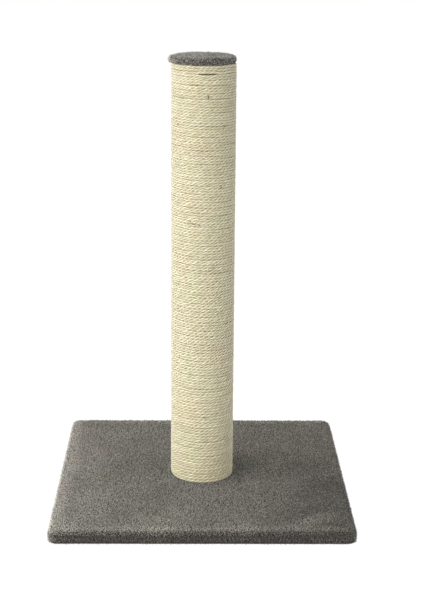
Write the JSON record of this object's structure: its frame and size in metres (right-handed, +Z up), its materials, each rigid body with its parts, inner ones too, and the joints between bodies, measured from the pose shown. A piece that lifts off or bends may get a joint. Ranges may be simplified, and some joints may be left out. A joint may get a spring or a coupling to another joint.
{
  "type": "cat scratching post",
  "caption": "Free-standing cat scratching post: square plush-covered base, upright tube wound with sisal rope, round plush cap.",
  "frame": {"origin": "centre of the base's underside, on the floor, below the post's axis", "axes": "+Z up along the post, -Y towards the front as the picture shows it, +X to its right"},
  "size_m": [0.4108, 0.4108, 0.62],
  "materials": {
    "plush": "short grey plush pile, brushed lighter in patches",
    "sisal": "natural three-strand sisal rope, undyed",
    "chipboard": "raw chipboard",
    "plywood": "raw plywood",
    "core_board": "spiral-wound brown core board",
    "zinc_steel": "bright zinc-plated steel",
    "staple_steel": "galvanised wire"
  },
  "bodies": {
    "root": {"base_board": "chipboard", "base_plush_cover": "plush", "base_hem_staples": "staple_steel", "base_bolt": "zinc_steel", "base_washer": "zinc_steel", "post_tube": "core_board", "foot_plug": "plywood", "tee_nut": "zinc_steel", "foot_plug_brads": "staple_steel", "sisal_rope": "sisal", "rope_end_brads": "staple_steel", "top_plug": "plywood", "top_plug_brads": "staple_steel", "cap_disc": "plywood", "cap_plush_cover": "plush", "cap_hem_staples": "staple_steel", "cap_brads": "staple_steel"}
  },
  "joints": []
}
